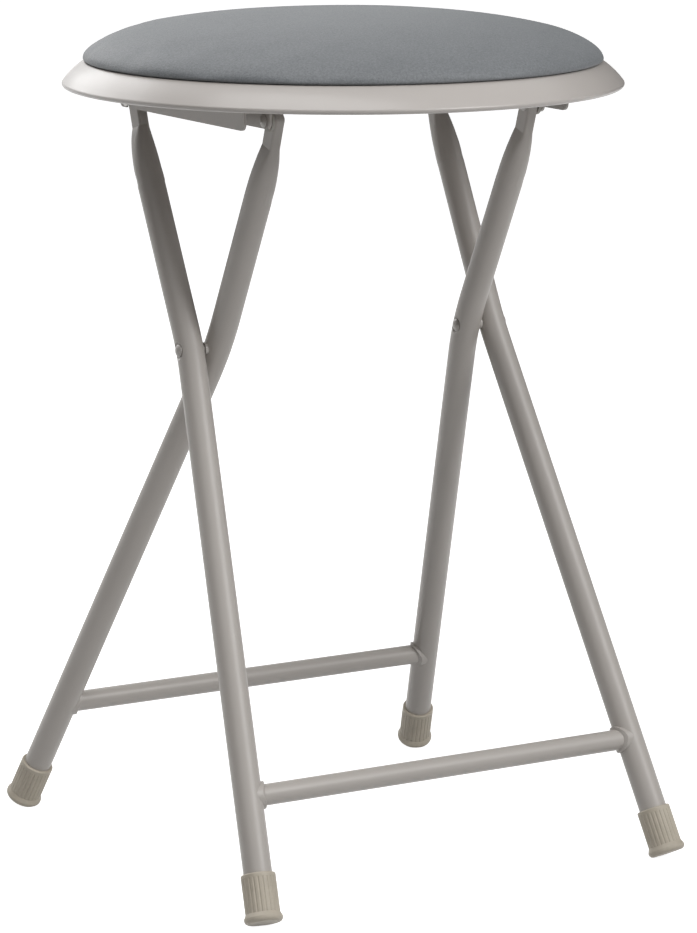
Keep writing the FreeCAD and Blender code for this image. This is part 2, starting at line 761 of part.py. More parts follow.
def channel_body(name):
    """Folded steel channel, open downwards, with its flange ends rounded."""
    body, sketch = body_sketch(name, "XZ_Plane")
    outline(
        sketch,
        [
            (0, 0),
            ("channel_sheet", 0),
            ("channel_sheet", "channel_bend_height"),
            ("channel_bend", "channel_web_underside"),
            ("channel_bend_far", "channel_web_underside"),
            ("channel_wall_far", "channel_bend_height"),
            ("channel_wall_far", 0),
            ("channel_width", 0),
            ("channel_width", "channel_bend_height"),
            ("channel_bend_far", "channel_height"),
            ("channel_bend", "channel_height"),
            (0, "channel_bend_height"),
        ],
        {2: ("channel_bend_inside", -1), 4: ("channel_bend_inside", -1),
         8: ("channel_bend", 1), 10: ("channel_bend", 1)})
    pad = body.newObject("PartDesign::Pad", name + "_pad")
    pad.Profile = sketch
    pad.setExpression("Length", "Sizes.channel_length")
    pad.Midplane = True
    doc.recompute()
    corners = []
    for index, edge in enumerate(pad.Shape.Edges):
        box = edge.BoundBox
        if box.ZMax < get("channel_bend_height") / 2 and box.YLength < box.XLength:
            corners.append("Edge%d" % (index + 1))
    rounding = body.newObject("PartDesign::Fillet", name + "_ends")
    rounding.Base = (pad, corners)
    rounding.setExpression("Radius", "Sizes.channel_corner")
    doc.recompute()
    return body


def screw_places():
    """Distances of the channel screws from the middle, along Y."""
    count = int(get("screw_count"))
    return [(index - (count - 1) / 2) * get("screw_pitch") for index in range(count)]


def make_channels():
    """Left and right channel, drilled for the pivot rivet and the screws and notched for the rest pin."""
    across = Vector(1, 0, 0)
    front = lines["inner"]["pivot"]
    rear = lines["outer"]["pivot"]
    angle = math.radians(get("notch_angle"))
    notch_way = Vector(0, -math.cos(angle), -math.sin(angle))
    notch_side = notch_way.cross(across)
    for side, sign in sides.items():
        name = side + "_seat_channel"
        body = channel_body(name + "_blank")
        near = get("channel_inner_face") if sign > 0 else -get("channel_outer_face")
        body.Placement.Base = Vector(near, 0, get("pan_underside") - get("channel_height"))
        inner_wall = sign * (get("channel_inner_face") + get("channel_sheet") / 2)
        pivot_start = Vector(inner_wall - get("channel_sheet"), front.y, front.z)
        notch_start = Vector(near - get("overrun"), rear.y, rear.z)
        slot = new("Part::Box", name + "_notch")
        bind(slot, Length="notch_through", Width="notch_width", Height="notch_run")
        slot.Placement = Placement(
            notch_start - notch_side * get("notch_half_width"),
            Rotation(across, notch_side, notch_way, "XYZ"))
        tools = [
            rod(name + "_pivot_hole", "pivot_hole_radius", "pivot_hole_run", across, pivot_start),
            rod(name + "_notch_end", "notch_half_width", "notch_through", across, notch_start),
            slot,
        ]
        for index, place in enumerate(screw_places()):
            start = Vector(sign * get("channel_middle"), place, get("pan_underside") - get("overrun"))
            tools.append(rod("%s_screw_hole_%d" % (name, index), "screw_hole_radius", "screw_hole_run",
                             Vector(0, 0, 1), start))
        cut(name, body, tools)


def make_screws():
    """Round-headed screws that hold both channels and the pan to the board."""
    screw = turned_body(
        "channel_screw",
        [
            (0, 0),
            ("screw_head_radius", "screw_dome_height"),
            ("screw_head_radius", "screw_head_height"),
            ("screw_radius", "screw_head_height"),
            ("screw_radius", "screw_tip_start"),
            (0, "screw_end"),
        ],
        {0: ("screw_dome_radius", 1)}).Shape
    placed = []
    seat_of_head = get("pan_underside") - get("channel_sheet") - get("screw_head_height")
    for sign in sides.values():
        for place in screw_places():
            copy = screw.copy()
            copy.Placement.Base = Vector(sign * get("channel_middle"), place, seat_of_head)
            placed.append(copy)
    group("channel_screws", placed)


# Seat.

def on_circle(centre, radius, angle):
    return Vector(centre.x + radius * math.cos(angle), 0, centre.z + radius * math.sin(angle))


def bow(centre, radius, first, last):
    """Arc in the XZ plane between two angles."""
    points = [on_circle(centre, radius, a) for a in (first, (first + last) / 2, last)]
    return Part.Arc(*points).toShape()


def pan_line(inset):
    """Pan's section from the axis to its rolled hem, drawn inset into the sheet from the seen side."""
    crest = Vector(get("recess_radius") + get("crest_radius"), 0, get("crest_centre_height"))
    roll = Vector(get("rim_radius") - get("roll_radius"), 0, get("rim_bottom") + get("roll_radius"))
    # The rim's face is one arc that touches the crest arc and the roll from outside
    to_crest = get("rim_face_radius") - get("crest_radius")
    to_roll = get("rim_face_radius") - get("roll_radius")
    span = roll - crest
    along = (to_crest ** 2 - to_roll ** 2 + span.Length ** 2) / (2 * span.Length)
    away = math.sqrt(to_crest ** 2 - along ** 2)
    way = Vector(span).normalize()
    inward = Vector(way.z, 0, -way.x)
    if inward.x > 0:
        inward = inward * -1
    face = crest + way * along + inward * away
    crest_turn = math.atan2(crest.z - face.z, crest.x - face.x)
    roll_turn = math.atan2(roll.z - face.z, roll.x - face.x)
    floor_z = get("pan_floor_height") - inset
    wall_x = get("recess_radius") + inset
    bend_radius = get("recess_bend") + inset
    bend = Vector(get("recess_radius") - get("recess_bend"), 0, get("pan_floor_height") + get("recess_bend"))
    return [
        Part.makeLine(Vector(0, 0, floor_z), Vector(bend.x, 0, floor_z)),
        bow(bend, bend_radius, -math.pi / 2, 0),
        Part.makeLine(Vector(wall_x, 0, bend.z), Vector(wall_x, 0, crest.z)),
        bow(crest, get("crest_radius") - inset, math.pi, crest_turn),
        bow(face, get("rim_face_radius") - inset, crest_turn, roll_turn),
        bow(roll, get("roll_radius") - inset, roll_turn, roll_turn - math.radians(get("roll_turn"))),
    ]


def make_pan():
    """Spun steel pan: recessed floor, rounded crest, convex rim and rolled hem, drilled for the screws."""
    seen = pan_line(0)
    hidden = pan_line(get("pan_sheet"))
    hem = Part.makeLine(*(run[-1].valueAt(run[-1].LastParameter) for run in (seen, hidden)))
    middle = Part.makeLine(*(run[0].valueAt(run[0].FirstParameter) for run in (seen, hidden)))
    profile = Part.Face(Part.Wire(Part.__sortEdges__(seen + [hem] + hidden + [middle])))
    blank = shaped("seat_pan_blank", profile.revolve(Vector(0, 0, 0), Vector(0, 0, 1), 360))
    tools = []
    for side, sign in sides.items():
        for index, place in enumerate(screw_places()):
            start = Vector(sign * get("channel_middle"), place, get("pan_underside") - get("overrun"))
            tools.append(rod("pan_%s_hole_%d" % (side, index), "screw_hole_radius", "pan_hole_run",
                             Vector(0, 0, 1), start))
    return cut("seat_pan", blank, tools)


def make_board():
    """Round board under the foam, with its edges eased and blind holes for the screws."""
    body, sketch = body_sketch("seat_board_blank", "XY_Plane")
    sketch.addGeometry(Part.Circle(Vector(0, 0, 0), Vector(0, 0, 1), get("board_radius")), False)
    sketch.addConstraint(Sketcher.Constraint("Coincident", 0, 3, -1, 1))
    made = sketch.addConstraint(Sketcher.Constraint("Radius", 0, get("board_radius")))
    sketch.setExpression("Constraints[%d]" % made, "Sizes.board_radius")
    pad = body.newObject("PartDesign::Pad", "seat_board_pad")
    pad.Profile = sketch
    pad.setExpression("Length", "Sizes.board_thickness")
    doc.recompute()
    easing = body.newObject("PartDesign::Chamfer", "seat_board_easing")
    easing.Base = (pad, ["Edge%d" % (index + 1) for index, edge in enumerate(pad.Shape.Edges)
                         if edge.Closed and edge.BoundBox.ZLength < get("board_chamfer")])
    easing.setExpression("Size", "Sizes.board_chamfer")
    doc.recompute()
    body.Placement.Base = Vector(0, 0, get("board_underside"))
    tools = []
    for side, sign in sides.items():
        for index, place in enumerate(screw_places()):
            start = Vector(sign * get("channel_middle"), place, get("board_underside") - get("overrun"))
            tools.append(rod("board_%s_hole_%d" % (side, index), "screw_bore_radius", "screw_bore_run",
                             Vector(0, 0, 1), start))
    return cut("seat_board", body, tools)


def crown_line(inset):
    """Domed top of the pad, flat in the middle and steep at the side, from its top down to its hem."""
    reach = get("pad_radius") - inset
    base = get("ledge_height") + get("pad_hem")
    rise = get("stool_height") - inset - base
    points = []
    for index in range(crown_points + 1):
        turn = math.pi / 2 * index / crown_points
        across = reach * max(math.sin(turn), 0) ** (2 / crown_across_power)
        up = rise * max(math.cos(turn), 0) ** (2 / crown_up_power)
        points.append(Vector(across, 0, base + up))
    points[-1] = Vector(reach, 0, base)
    curve = Part.BSplineCurve()
    curve.interpolate(Points=points, InitialTangent=Vector(1, 0, 0), FinalTangent=Vector(0, 0, -1))
    return curve.toShape()


def pad_edge(inset):
    """Crown, hem and drawn-in side of the pad, down to the middle height of the pan's crest."""
    crest = Vector(get("recess_radius") + get("crest_radius"), 0, get("crest_centre_height"))
    hem = Vector(get("pad_radius") - get("pad_hem"), 0, get("ledge_height") + get("pad_hem"))
    side_radius = get("crest_radius") + get("pad_gap") + inset
    return [
        crown_line(inset),
        bow(hem, get("pad_hem") - inset, 0, -math.pi / 2),
        Part.makeLine(Vector(hem.x, 0, get("ledge_height") + inset),
                      Vector(crest.x, 0, get("ledge_height") + inset)),
        bow(crest, side_radius, math.pi / 2, math.pi),
    ]


def turned_about_axis(edges):
    """Solid of revolution of a profile that starts and ends on the stool's own axis."""
    first = edges[0].valueAt(edges[0].FirstParameter)
    last = edges[-1].valueAt(edges[-1].LastParameter)
    closing = Part.makeLine(last, first)
    return Part.Face(Part.Wire(edges + [closing])).revolve(Vector(0, 0, 0), Vector(0, 0, 1), 360)


def covered_block(inset):
    """Whole padded block, inset from the outside of its cover."""
    side = get("pad_body_radius") - inset
    floor = get("pan_floor_height") + inset
    corner = get("cover_corner") - inset
    hub = Vector(side - corner, 0, floor + corner)
    return turned_about_axis(pad_edge(inset) + [
        Part.makeLine(Vector(side, 0, get("crest_centre_height")), Vector(side, 0, hub.z)),
        bow(hub, corner, 0, -math.pi / 2),
        Part.makeLine(Vector(hub.x, 0, floor), Vector(0, 0, floor)),
    ])


def make_cover():
    """Vinyl cover, drawn over the foam and tucked under the board's edge."""
    tuck_radius = get("pad_body_radius") - get("cover_tuck")
    opening = Part.makeCylinder(tuck_radius, 2 * get("cover_sheet"),
                                Vector(0, 0, get("pan_floor_height") - get("cover_sheet")))
    skin = covered_block(0).cut(covered_block(get("cover_sheet")))
    return shaped("seat_cover", skin.cut(opening))


def make_foam():
    """Foam pad between the board and the cover."""
    inset = get("cover_sheet") + get("foam_clearance")
    side = get("pad_body_radius") - inset
    floor = get("crest_centre_height")
    return shaped("seat_foam", turned_about_axis(pad_edge(inset) + [
        Part.makeLine(Vector(side, 0, floor), Vector(0, 0, floor)),
    ]))


nodes = [
    "seat_cover", "seat_foam", "seat_board", "seat_pan",
    "left_seat_channel", "right_seat_channel", "channel_screws",
    "left_inner_leg", "right_inner_leg", "rear_crossbar", "rear_crossbar_welds",
    "left_rear_foot_cap", "right_rear_foot_cap",
    "seat_pivot_rivets", "seat_pivot_washers", "scissor_rivets", "scissor_spacers",
    "left_outer_leg", "right_outer_leg", "front_crossbar", "front_crossbar_welds",
    "left_front_foot_cap", "right_front_foot_cap", "rest_pins", "rest_pin_sleeves",
]


def check_and_write():
    """Stops on any failed object or faulty shape, then writes one file for each piece."""
    doc.recompute()
    for item in doc.Objects:
        if {"Invalid", "Error"} & set(item.State):
            raise RuntimeError("%s failed: %s" % (item.Name, item.State))
    shapes = {}
    for name in nodes:
        shape = doc.getObject(name).Shape
        if shape.isNull() or not shape.isValid() or not shape.Solids:
            raise RuntimeError("%s has no sound shape" % name)
        shapes[name] = shape
    os.makedirs("parts", exist_ok=True)
    for name, shape in shapes.items():
        shape.exportStep("parts/%s.step" % name)
        print("%-22s solids %2d  volume %10.1f" % (name, len(shape.Solids), shape.Volume))


make_pan()
make_board()
make_foam()
make_cover()
make_channels()
make_screws()
make_legs()
make_crossbar("rear_crossbar", "inner")
make_welds("rear_crossbar_welds", "inner")
make_crossbar("front_crossbar", "outer")
make_welds("front_crossbar_welds", "outer")
make_foot_caps()
make_pivots()
make_scissor()
make_rest_pins()
check_and_write()
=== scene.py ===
# Folding bar stool: vinyl seat in a painted pan, on two scissor frames of bent tube.
import math
import random
import bpy
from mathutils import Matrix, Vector


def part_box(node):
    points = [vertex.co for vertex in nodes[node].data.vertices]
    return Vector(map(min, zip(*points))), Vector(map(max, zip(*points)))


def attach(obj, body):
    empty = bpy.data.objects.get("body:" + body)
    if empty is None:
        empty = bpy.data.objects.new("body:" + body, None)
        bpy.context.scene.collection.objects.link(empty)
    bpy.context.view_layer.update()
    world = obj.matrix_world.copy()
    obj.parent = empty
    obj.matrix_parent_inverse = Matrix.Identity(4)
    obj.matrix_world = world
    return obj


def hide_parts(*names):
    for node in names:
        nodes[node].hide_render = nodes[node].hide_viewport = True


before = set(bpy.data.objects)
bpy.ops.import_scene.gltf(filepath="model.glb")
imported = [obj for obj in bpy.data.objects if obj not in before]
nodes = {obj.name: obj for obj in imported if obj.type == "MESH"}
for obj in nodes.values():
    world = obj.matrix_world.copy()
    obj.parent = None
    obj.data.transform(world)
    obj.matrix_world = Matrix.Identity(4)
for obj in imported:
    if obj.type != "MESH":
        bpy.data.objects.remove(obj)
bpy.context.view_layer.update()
scene = bpy.context.scene
millimetre = 0.001
print("frame loaded with", len(nodes), "nodes")


# Node helpers
def startMaterial(name):
    material = bpy.data.materials.new(name)
    material.use_nodes = True
    return material, material.node_tree, material.node_tree.nodes["Principled BSDF"]


def setInputs(node, inputs):
    # a socket is linked to the input of that name, any other value is set on it
    for key, value in inputs.items():
        if isinstance(value, bpy.types.NodeSocket):
            node.id_data.links.new(value, node.inputs[key])
        else:
            node.inputs[key].default_value = value


def addNode(tree, kind, inputs=None, **settings):
    node = tree.nodes.new(kind)
    for key, value in settings.items():
        setattr(node, key, value)
    setInputs(node, inputs or {})
    return node


def objectPlace(tree):
    return addNode(tree, "ShaderNodeTexCoord").outputs["Object"]


def noise(tree, place, perMetre, detail=2.0, roughness=0.5):
    return addNode(tree, "ShaderNodeTexNoise", {
        "Vector": place, "Scale": perMetre, "Detail": detail, "Roughness": roughness}).outputs["Fac"]


def toned(tree, value, look, low=0.3, high=0.7):
    # colour that drifts from the look's darker tone to its lighter one as the value runs from low to high
    ramp = addNode(tree, "ShaderNodeValToRGB", {"Fac": value})
    ramp.color_ramp.elements[0].position = low
    ramp.color_ramp.elements[0].color = (*look["darker"], 1)
    ramp.color_ramp.elements[1].position = high
    ramp.color_ramp.elements[1].color = (*look["lighter"], 1)
    return ramp.outputs["Color"]


def ranged(tree, value, low, high):
    return addNode(tree, "ShaderNodeMapRange", {
        "Value": value, "To Min": low, "To Max": high}).outputs["Result"]


def combined(tree, operation, first, second):
    return addNode(tree, "ShaderNodeMath", {0: first, 1: second}, operation=operation).outputs["Value"]


def bumped(tree, height, depth, strength=1.0, under=None):
    inputs = {"Height": height, "Distance": depth, "Strength": strength}
    if under is not None:
        inputs["Normal"] = under
    return addNode(tree, "ShaderNodeBump", inputs).outputs["Normal"]


# Finishes; scales are in cells to the metre, depths in metres
paintWork = {
    "drift": {"perMetre": 9.0, "detail": 3.0},
    "smear": {"perMetre": 45.0, "detail": 2.0},
    "smoother": 0.05,           # how far the roughness strays below and above its own value
    "rougher": 0.07,
    "peel": {"perMetre": 420.0, "detail": 1.0},
    "nibs": {"perMetre": 2600.0, "detail": 2.0, "roughness": 0.6},
    "nibShare": 0.12,           # of the depth of the peel
    "refraction": 1.5,
}


def paintFinish(name, look):
    # stove enamel: slow drift of tone, faint orange peel, fine dust nibs
    material, tree, shader = startMaterial(name)
    place = objectPlace(tree)
    drift = noise(tree, place, **paintWork["drift"])
    smear = noise(tree, place, **paintWork["smear"])
    peel = noise(tree, place, **paintWork["peel"])
    nibs = noise(tree, place, **paintWork["nibs"])
    skin = bumped(tree, peel, look["peelDepth"])
    skin = bumped(tree, nibs, look["peelDepth"] * paintWork["nibShare"], under=skin)
    setInputs(shader, {
        "Base Color": toned(tree, drift, look),
        "Roughness": ranged(tree, smear, look["roughness"] - paintWork["smoother"],
                            look["roughness"] + paintWork["rougher"]),
        "Normal": skin, "IOR": paintWork["refraction"],
        "Coat Weight": look["coat"], "Coat Roughness": look["coatRoughness"]})
    return material


framePaint = paintFinish("framePaint", {
    "darker": (0.400, 0.372, 0.345), "lighter": (0.425, 0.396, 0.368),
    "roughness": 0.46, "coat": 0.25, "coatRoughness": 0.30, "peelDepth": 0.00003})
# the frame's enamel again, made a shade lighter as painted light for the brighter-lit pan; its glossier
# coat is the pan's own
panPaintWithPaintedLight = paintFinish("panPaintWithPaintedLight", {
    "darker": (0.415, 0.385, 0.362), "lighter": (0.440, 0.410, 0.386),
    "roughness": 0.40, "coat": 0.5, "coatRoughness": 0.24, "peelDepth": 0.00002})
rivetPaint = paintFinish("rivetPaint", {
    "darker": (0.39, 0.365, 0.34), "lighter": (0.42, 0.395, 0.37),
    "roughness": 0.36, "coat": 0.3, "coatRoughness": 0.2, "peelDepth": 0.00002})

vinyl = {
    "darker": (0.125, 0.134, 0.142),
    "lighter": (0.190, 0.200, 0.210),
    "drift": {"perMetre": 14.0, "detail": 4.0},
    "driftRange": (0.42, 0.58),
    "mottle": {"perMetre": 700.0, "detail": 3.0, "roughness": 0.7},
    "mottleRange": (-0.6, 0.6),
    "roughness": (0.46, 0.62),
    "pebbleScale": 900.0,
    "pebbleSmoothness": 0.35,
    "pebbleDepth": -0.00022,
    "pebbleStrength": 0.6,
    "creaseScale": 520.0,
    "creaseWidth": 0.18,        # as a share of a cell
    "creaseDepth": 0.00006,
    "grain": {"perMetre": 2400.0, "detail": 3.0, "roughness": 0.6},
    "grainDepth": 0.00008,
    "fineStrength": 0.5,        # of the creases and the grain
    "refraction": 1.45,
    "sheen": 0.08,
    "sheenRoughness": 0.5,
}


def vinylFinish(name):
    # coated cloth: fine pebbled grain with hairline valleys, a soft sheen and a slow drift of tone
    material, tree, shader = startMaterial(name)
    place = objectPlace(tree)
    pebbles = addNode(tree, "ShaderNodeTexVoronoi", {
        "Vector": place, "Scale": vinyl["pebbleScale"], "Smoothness": vinyl["pebbleSmoothness"]},
        feature="SMOOTH_F1").outputs["Distance"]
    creases = addNode(tree, "ShaderNodeTexVoronoi", {
        "Vector": place, "Scale": vinyl["creaseScale"]}, feature="DISTANCE_TO_EDGE").outputs["Distance"]
    grain = noise(tree, place, **vinyl["grain"])
    drift = noise(tree, place, **vinyl["drift"])
    mottle = noise(tree, place, **vinyl["mottle"])
    tone = combined(tree, "ADD", ranged(tree, drift, *vinyl["driftRange"]),
                    ranged(tree, mottle, *vinyl["mottleRange"]))
    valley = addNode(tree, "ShaderNodeMapRange", {
        "Value": creases, "From Max": vinyl["creaseWidth"], "To Min": 0.0, "To Max": 1.0}).outputs["Result"]
    skin = bumped(tree, pebbles, vinyl["pebbleDepth"], vinyl["pebbleStrength"])
    skin = bumped(tree, valley, vinyl["creaseDepth"], vinyl["fineStrength"], skin)
    skin = bumped(tree, grain, vinyl["grainDepth"], vinyl["fineStrength"], skin)
    setInputs(shader, {
        "Base Color": toned(tree, tone, vinyl), "Roughness": ranged(tree, pebbles, *vinyl["roughness"]),
        "Normal": skin, "IOR": vinyl["refraction"],
        "Sheen Weight": vinyl["sheen"], "Sheen Roughness": vinyl["sheenRoughness"]})
    return material


seatVinyl = vinylFinish("seatVinyl")

plasticWork = {
    "drift": {"perMetre": 60.0, "detail": 4.0, "roughness": 0.6},
    "scuffs": {"perMetre": 240.0, "detail": 4.0, "roughness": 0.7},
    "smoother": 0.08,
    "rougher": 0.1,
    "grain": {"perMetre": 3000.0, "detail": 2.0},
    "glowDepth": 2 * millimetre,
    "refraction": 1.5,
}


def plasticFinish(name, look):
    # moulded plastic: fine spark-eroded texture, scuffed tone
    material, tree, shader = startMaterial(name)
    place = objectPlace(tree)
    drift = noise(tree, place, **plasticWork["drift"])
    scuffs = noise(tree, place, **plasticWork["scuffs"])
    grain = noise(tree, place, **plasticWork["grain"])
    setInputs(shader, {
        "Base Color": toned(tree, drift, look),
        "Roughness": ranged(tree, scuffs, look["roughness"] - plasticWork["smoother"],
                            look["roughness"] + plasticWork["rougher"]),
        "Normal": bumped(tree, grain, look["grainDepth"]), "IOR": plasticWork["refraction"],
        "Subsurface Weight": look["glow"], "Subsurface Scale": plasticWork["glowDepth"]})
    return material


capPlastic = plasticFinish("capPlastic", {
    "darker": (0.42, 0.375, 0.305), "lighter": (0.51, 0.46, 0.38),
    "roughness": 0.5, "grainDepth": 0.00003, "glow": 0.0})
washerNylon = plasticFinish("washerNylon", {
    "darker": (0.36, 0.34, 0.31), "lighter": (0.42, 0.40, 0.36),
    "roughness": 0.5, "grainDepth": 0.00001, "glow": 0.1})

plating = {
    "darker": (0.30, 0.29, 0.28),
    "lighter": (0.40, 0.39, 0.37),
    "clouds": {"perMetre": 260.0, "detail": 4.0, "roughness": 0.6},
    "roughness": 0.38,
    "smoother": 0.08,
    "rougher": 0.12,
    "markScale": 900.0,
    "markDistortion": 1.5,
    "markDetail": 2.0,
    "markDepth": 0.00001,
}


def steelFinish(name):
    # zinc plated steel: cloudy spangle and turning marks
    material, tree, shader = startMaterial(name)
    place = objectPlace(tree)
    clouds = noise(tree, place, **plating["clouds"])
    marks = addNode(tree, "ShaderNodeTexWave", {
        "Vector": place, "Scale": plating["markScale"], "Distortion": plating["markDistortion"],
        "Detail": plating["markDetail"]}, bands_direction="X").outputs["Fac"]
    setInputs(shader, {
        "Base Color": toned(tree, clouds, plating),
        "Roughness": ranged(tree, clouds, plating["roughness"] - plating["smoother"],
                            plating["roughness"] + plating["rougher"]),
        "Normal": bumped(tree, marks, plating["markDepth"]), "Metallic": 1.0})
    return material


platedSteel = steelFinish("platedSteel")

foam = {
    "darker": (0.62, 0.56, 0.38),
    "lighter": (0.80, 0.75, 0.58),
    "toneRange": (0.1, 0.6),
    "cellScale": 1100.0,
    "cellDepth": 0.0004,
    "roughness": 0.95,
}


def foamFinish(name):
    # open cells, slightly yellowed
    material, tree, shader = startMaterial(name)
    cells = addNode(tree, "ShaderNodeTexVoronoi", {
        "Vector": objectPlace(tree), "Scale": foam["cellScale"]}).outputs["Distance"]
    setInputs(shader, {
        "Base Color": toned(tree, cells, foam, *foam["toneRange"]),
        "Normal": bumped(tree, cells, foam["cellDepth"]), "Roughness": foam["roughness"]})
    return material


paddingFoam = foamFinish("paddingFoam")

chipboard = {
    "darker": (0.30, 0.19, 0.10),
    "lighter": (0.52, 0.37, 0.22),
    "toneRange": (0.1, 0.9),
    "stretch": (1.0, 2.6, 1.0),
    "chipScale": 190.0,
    "chipDepth": 0.0002,
    "roughness": 0.8,
}


def boardFinish(name):
    # pressed wood chips in dull browns
    material, tree, shader = startMaterial(name)
    stretched = addNode(tree, "ShaderNodeMapping", {
        "Vector": objectPlace(tree), "Scale": chipboard["stretch"]}).outputs["Vector"]
    chips = addNode(tree, "ShaderNodeTexVoronoi", {"Vector": stretched, "Scale": chipboard["chipScale"]})
    setInputs(shader, {
        "Base Color": toned(tree, chips.outputs["Color"], chipboard, *chipboard["toneRange"]),
        "Normal": bumped(tree, chips.outputs["Distance"], chipboard["chipDepth"]),
        "Roughness": chipboard["roughness"]})
    return material


seatChipboard = boardFinish("seatChipboard")

finishOfNode = {
    "left_inner_leg": framePaint, "right_inner_leg": framePaint, "left_outer_leg": framePaint,
    "right_outer_leg": framePaint, "rear_crossbar": framePaint, "rear_crossbar_welds": framePaint,
    "front_crossbar": framePaint, "front_crossbar_welds": framePaint,
    "left_seat_channel": framePaint, "right_seat_channel": framePaint, "seat_pan": panPaintWithPaintedLight,
    "scissor_rivets": rivetPaint, "scissor_spacers": rivetPaint, "seat_pivot_rivets": rivetPaint,
    "rest_pins": platedSteel, "channel_screws": platedSteel,
    "seat_pivot_washers": washerNylon, "rest_pin_sleeves": washerNylon,
    "left_rear_foot_cap": capPlastic, "right_rear_foot_cap": capPlastic,
    "left_front_foot_cap": capPlastic, "right_front_foot_cap": capPlastic,
    "seat_foam": paddingFoam, "seat_board": seatChipboard, "seat_cover": seatVinyl,
}
for nodeName, finish in finishOfNode.items():
    nodes[nodeName].data.materials.clear()
    nodes[nodeName].data.materials.append(finish)
print("finishes on", len(finishOfNode), "nodes")


# Camera, fitted to the photograph; lengths in metres, angles in degrees
view = {
    "place": (-1.46860, -2.52820, 0.85530),
    "azimuth": -30.152,
    "downward": 10.860,
    "roll": -0.0488,
    "lens": 157.9,
    "sensor": 36.0,
    "shift": (0.00531, -0.02812),
}
camera = bpy.data.objects.new("viewCamera", bpy.data.cameras.new("viewCamera"))
scene.collection.objects.link(camera)
camera.data.sensor_width = view["sensor"]
camera.data.lens = view["lens"]
camera.data.shift_x, camera.data.shift_y = view["shift"]
camera.location = view["place"]
camera.rotation_euler = (math.radians(90 - view["downward"]), math.radians(view["roll"]),
                         math.radians(view["azimuth"]))
scene.camera = camera
scene.view_settings.view_transform = "Standard"

# Floor and light
ambientStrength = 0.13      # how bright the room is to the light that reaches the stool
floorLook = {"reach": 30.0, "drop": 0.0003, "whiteness": 0.50, "roughness": 0.9}


def rectangle(name, halfWide, halfTall):
    mesh = bpy.data.meshes.new(name)
    mesh.from_pydata([(-halfWide, -halfTall, 0), (halfWide, -halfTall, 0), (halfWide, halfTall, 0),
                      (-halfWide, halfTall, 0)], [], [(0, 1, 2, 3)])
    return bpy.data.objects.new(name, mesh)


def whiteToTheEye(tree):
    # 1 for the rays that the camera, a gloss or a clear piece sends out, 0 for those that carry light
    path = addNode(tree, "ShaderNodeLightPath").outputs
    seen = combined(tree, "MAXIMUM", path["Is Camera Ray"], path["Is Glossy Ray"])
    return combined(tree, "MAXIMUM", seen, path["Is Transmission Ray"])


def stageFloor():
    floor = rectangle("studioFloor", floorLook["reach"], floorLook["reach"])
    floor.location.z = -floorLook["drop"]
    scene.collection.objects.link(floor)
    material, tree, shader = startMaterial("studioFloor")
    whiteness = floorLook["whiteness"]
    missing = 1 - whiteness * ambientStrength       # what the room's light leaves short of white
    setInputs(shader, {
        "Base Color": (whiteness, whiteness, whiteness, 1), "Roughness": floorLook["roughness"],
        "Emission Color": (1, 1, 1, 1),
        "Emission Strength": combined(tree, "MULTIPLY", whiteToTheEye(tree), missing)})
    floor.data.materials.append(material)


def studioWorld():
    world = bpy.data.worlds.new("studioWorld")
    scene.world = world
    world.use_nodes = True
    tree = world.node_tree
    setInputs(tree.nodes["Background"], {
        "Strength": ranged(tree, whiteToTheEye(tree), ambientStrength, 1.0), "Color": (1, 1, 1, 1)})


# Each stands so many degrees to the right of the camera, round the stool, and so many above its middle
softboxes = {
    "keyRight": {"turn": 54, "lift": 34, "reach": 3.4, "size": (1.8, 1.8), "power": 60.0},
    "backLeft": {"turn": -134, "lift": 32, "reach": 3.2, "size": (2.4, 1.8), "power": 34.0},
    "topLeft": {"turn": -30, "lift": 68, "reach": 2.6, "size": (2.4, 1.6), "power": 36.0},
}
flags = {
    "frontLeft": {"turn": -58, "lift": 14, "reach": 2.2, "size": (1.8, 1.9), "tone": 0.10},
    "backRight": {"turn": 148, "lift": 20, "reach": 2.4, "size": (2.4, 2.0), "tone": 0.08},
}
flagCard = {"weave": {"perMetre": 30.0, "detail": 2.0}, "lighterBy": 1.1, "roughness": 0.9}
aimHeight = 0.35


def standRound(piece, stand):
    heading = math.radians(view["azimuth"] + stand["turn"])
    lift = math.radians(stand["lift"])
    outward = Vector((math.sin(heading) * math.cos(lift), -math.cos(heading) * math.cos(lift),
                      math.sin(lift)))
    piece.location = Vector((0, 0, aimHeight)) + outward * stand["reach"]
    piece.rotation_mode = "QUATERNION"
    piece.rotation_quaternion = (-outward).to_track_quat("-Z", "Y")     # it faces the stool
    scene.collection.objects.link(piece)


def addSoftbox(name, box):
    lamp = bpy.data.lights.new(name, "AREA")
    lamp.shape = "RECTANGLE"
    lamp.size, lamp.size_y = box["size"]
    lamp.energy = box["power"]
    standRound(bpy.data.objects.new(name, lamp), box)


def addFlag(name, flag):
    # dark card beside the camera's field, which the stool mirrors as the dark sides of its tubes
    card = rectangle(name, flag["size"][0] / 2, flag["size"][1] / 2)
    standRound(card, flag)
    material, tree, shader = startMaterial(name)
    weave = noise(tree, objectPlace(tree), **flagCard["weave"])
    look = {"darker": (flag["tone"],) * 3, "lighter": (flag["tone"] * flagCard["lighterBy"],) * 3}
    setInputs(shader, {"Base Color": toned(tree, weave, look), "Roughness": flagCard["roughness"]})
    card.data.materials.append(material)
    card.visible_camera = False


stageFloor()
studioWorld()
for boxName, softbox in softboxes.items():
    addSoftbox(boxName, softbox)
for flagName, flag in flags.items():
    addFlag(flagName, flag)
print("camera, floor and lights are in place")


